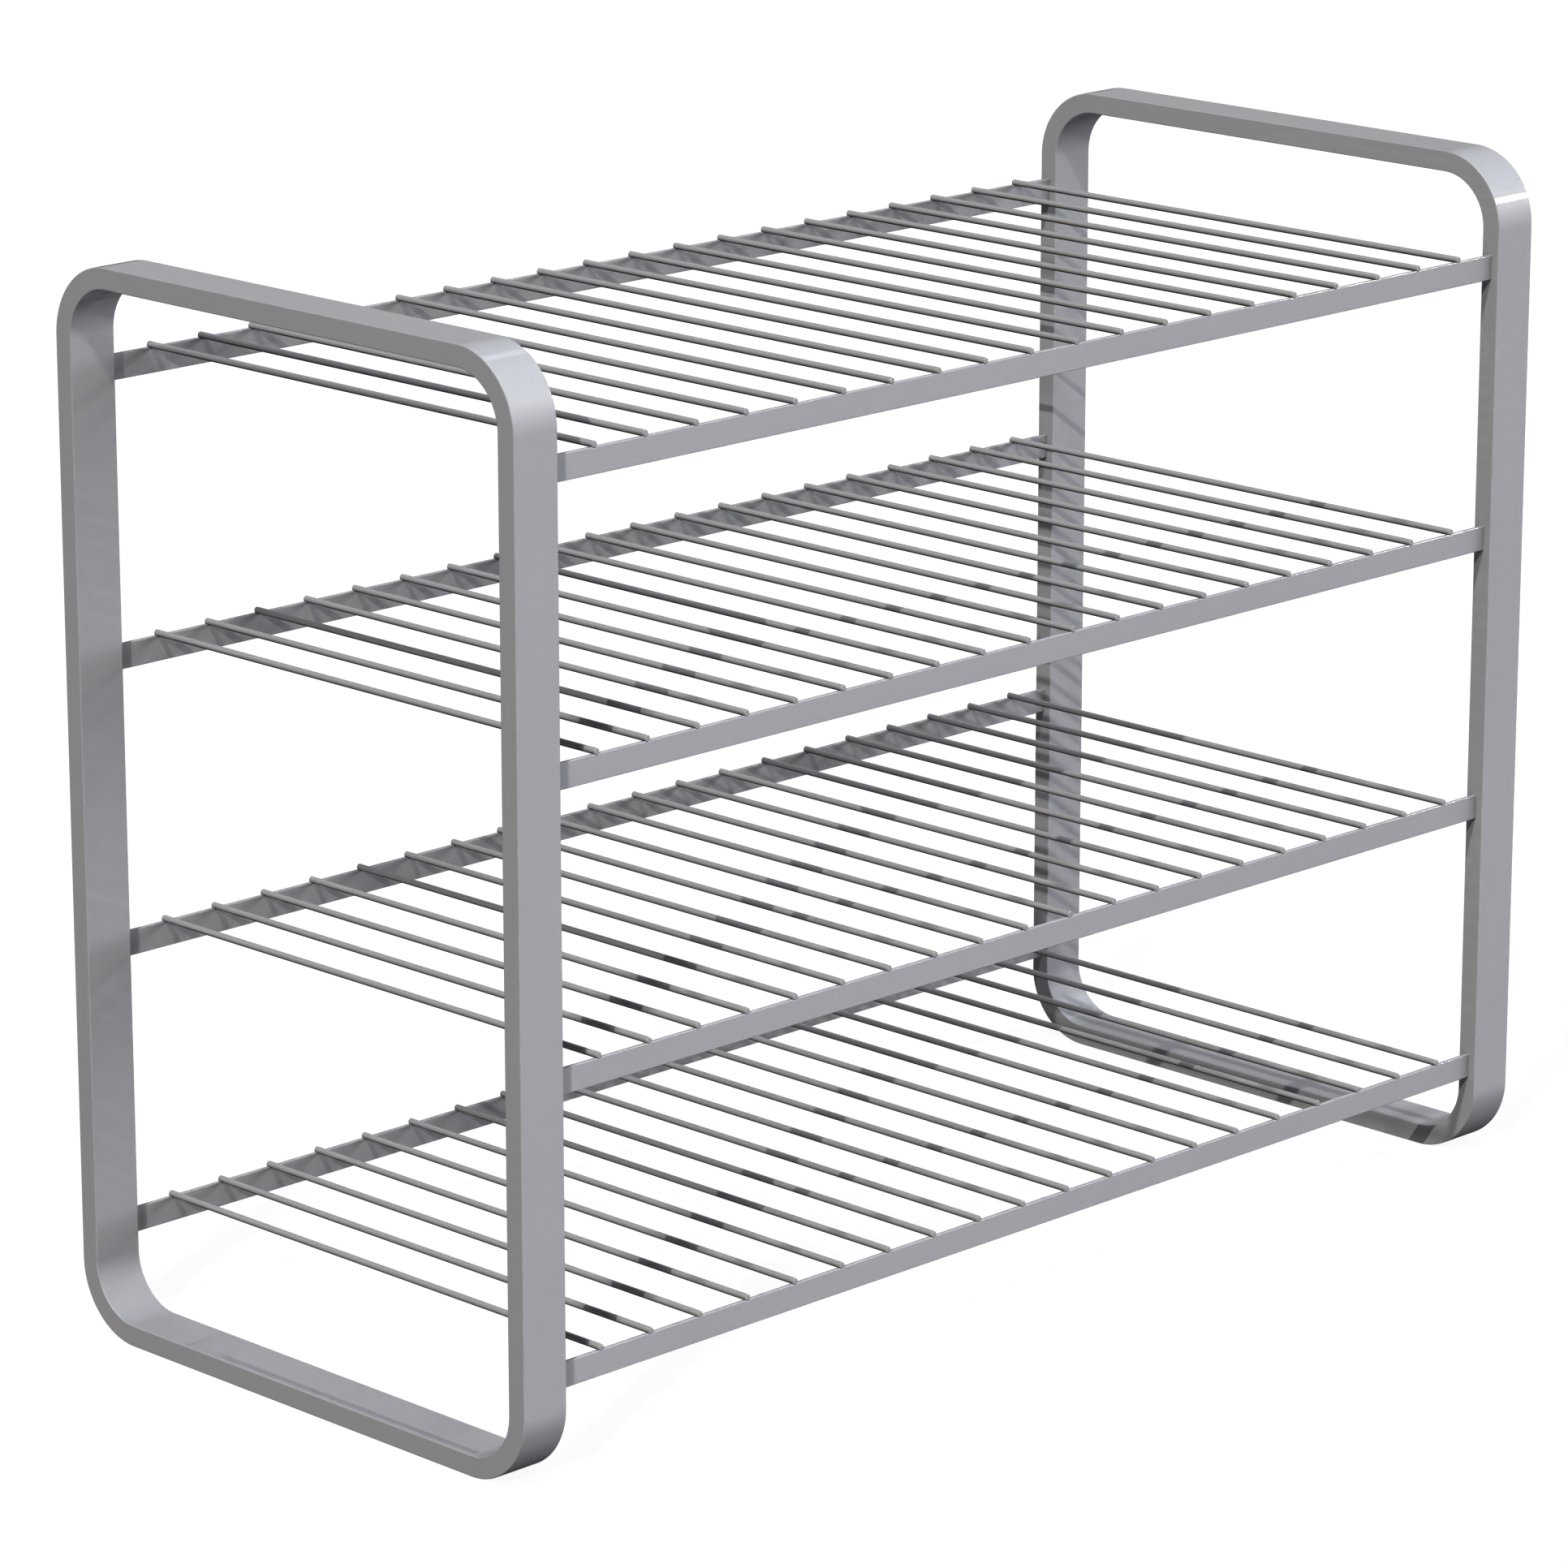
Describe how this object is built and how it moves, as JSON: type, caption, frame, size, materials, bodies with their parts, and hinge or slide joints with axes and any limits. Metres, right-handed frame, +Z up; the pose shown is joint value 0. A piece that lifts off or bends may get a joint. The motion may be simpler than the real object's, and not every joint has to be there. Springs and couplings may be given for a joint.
{
  "type": "tiered shoe rack",
  "caption": "Free-standing welded metal shoe rack: closed-loop rounded end frames joined by flat rails that carry open wire shelves.",
  "frame": {"origin": "centre of the footprint, on the floor", "axes": "+X along the rack's length, -Y out of the front, +Z up"},
  "size_m": [0.67, 0.3, 0.505],
  "materials": {
    "frame_metal": "satin silver-grey metallic powder coat",
    "rail_metal": "satin silver-grey metallic powder coat",
    "wire_metal": "satin silver-grey metallic powder coat"
  },
  "bodies": {
    "root": {"left_end_frame": "frame_metal", "right_end_frame": "frame_metal", "top_front_rail": "rail_metal", "top_back_rail": "rail_metal", "upper_front_rail": "rail_metal", "upper_back_rail": "rail_metal", "lower_front_rail": "rail_metal", "lower_back_rail": "rail_metal", "bottom_front_rail": "rail_metal", "bottom_back_rail": "rail_metal", "top_wires_01_02": "wire_metal", "top_wires_03_04": "wire_metal", "top_wires_05_06": "wire_metal", "top_wires_07_08": "wire_metal", "top_wires_09_10": "wire_metal", "top_wires_11_12": "wire_metal", "top_wires_13_14": "wire_metal", "top_wires_15_16": "wire_metal", "top_wires_17_18": "wire_metal", "top_wires_19_20": "wire_metal", "upper_wires_01_02": "wire_metal", "upper_wires_03_04": "wire_metal", "upper_wires_05_06": "wire_metal", "upper_wires_07_08": "wire_metal", "upper_wires_09_10": "wire_metal", "upper_wires_11_12": "wire_metal", "upper_wires_13_14": "wire_metal", "upper_wires_15_16": "wire_metal", "upper_wires_17_18": "wire_metal", "upper_wires_19_20": "wire_metal", "lower_wires_01_02": "wire_metal", "lower_wires_03_04": "wire_metal", "lower_wires_05_06": "wire_metal", "lower_wires_07_08": "wire_metal", "lower_wires_09_10": "wire_metal", "lower_wires_11_12": "wire_metal", "lower_wires_13_14": "wire_metal", "lower_wires_15_16": "wire_metal", "lower_wires_17_18": "wire_metal", "lower_wires_19_20": "wire_metal", "bottom_wires_01_02": "wire_metal", "bottom_wires_03_04": "wire_metal", "bottom_wires_05_06": "wire_metal", "bottom_wires_07_08": "wire_metal", "bottom_wires_09_10": "wire_metal", "bottom_wires_11_12": "wire_metal", "bottom_wires_13_14": "wire_metal", "bottom_wires_15_16": "wire_metal", "bottom_wires_17_18": "wire_metal", "bottom_wires_19_20": "wire_metal"}
  },
  "joints": []
}
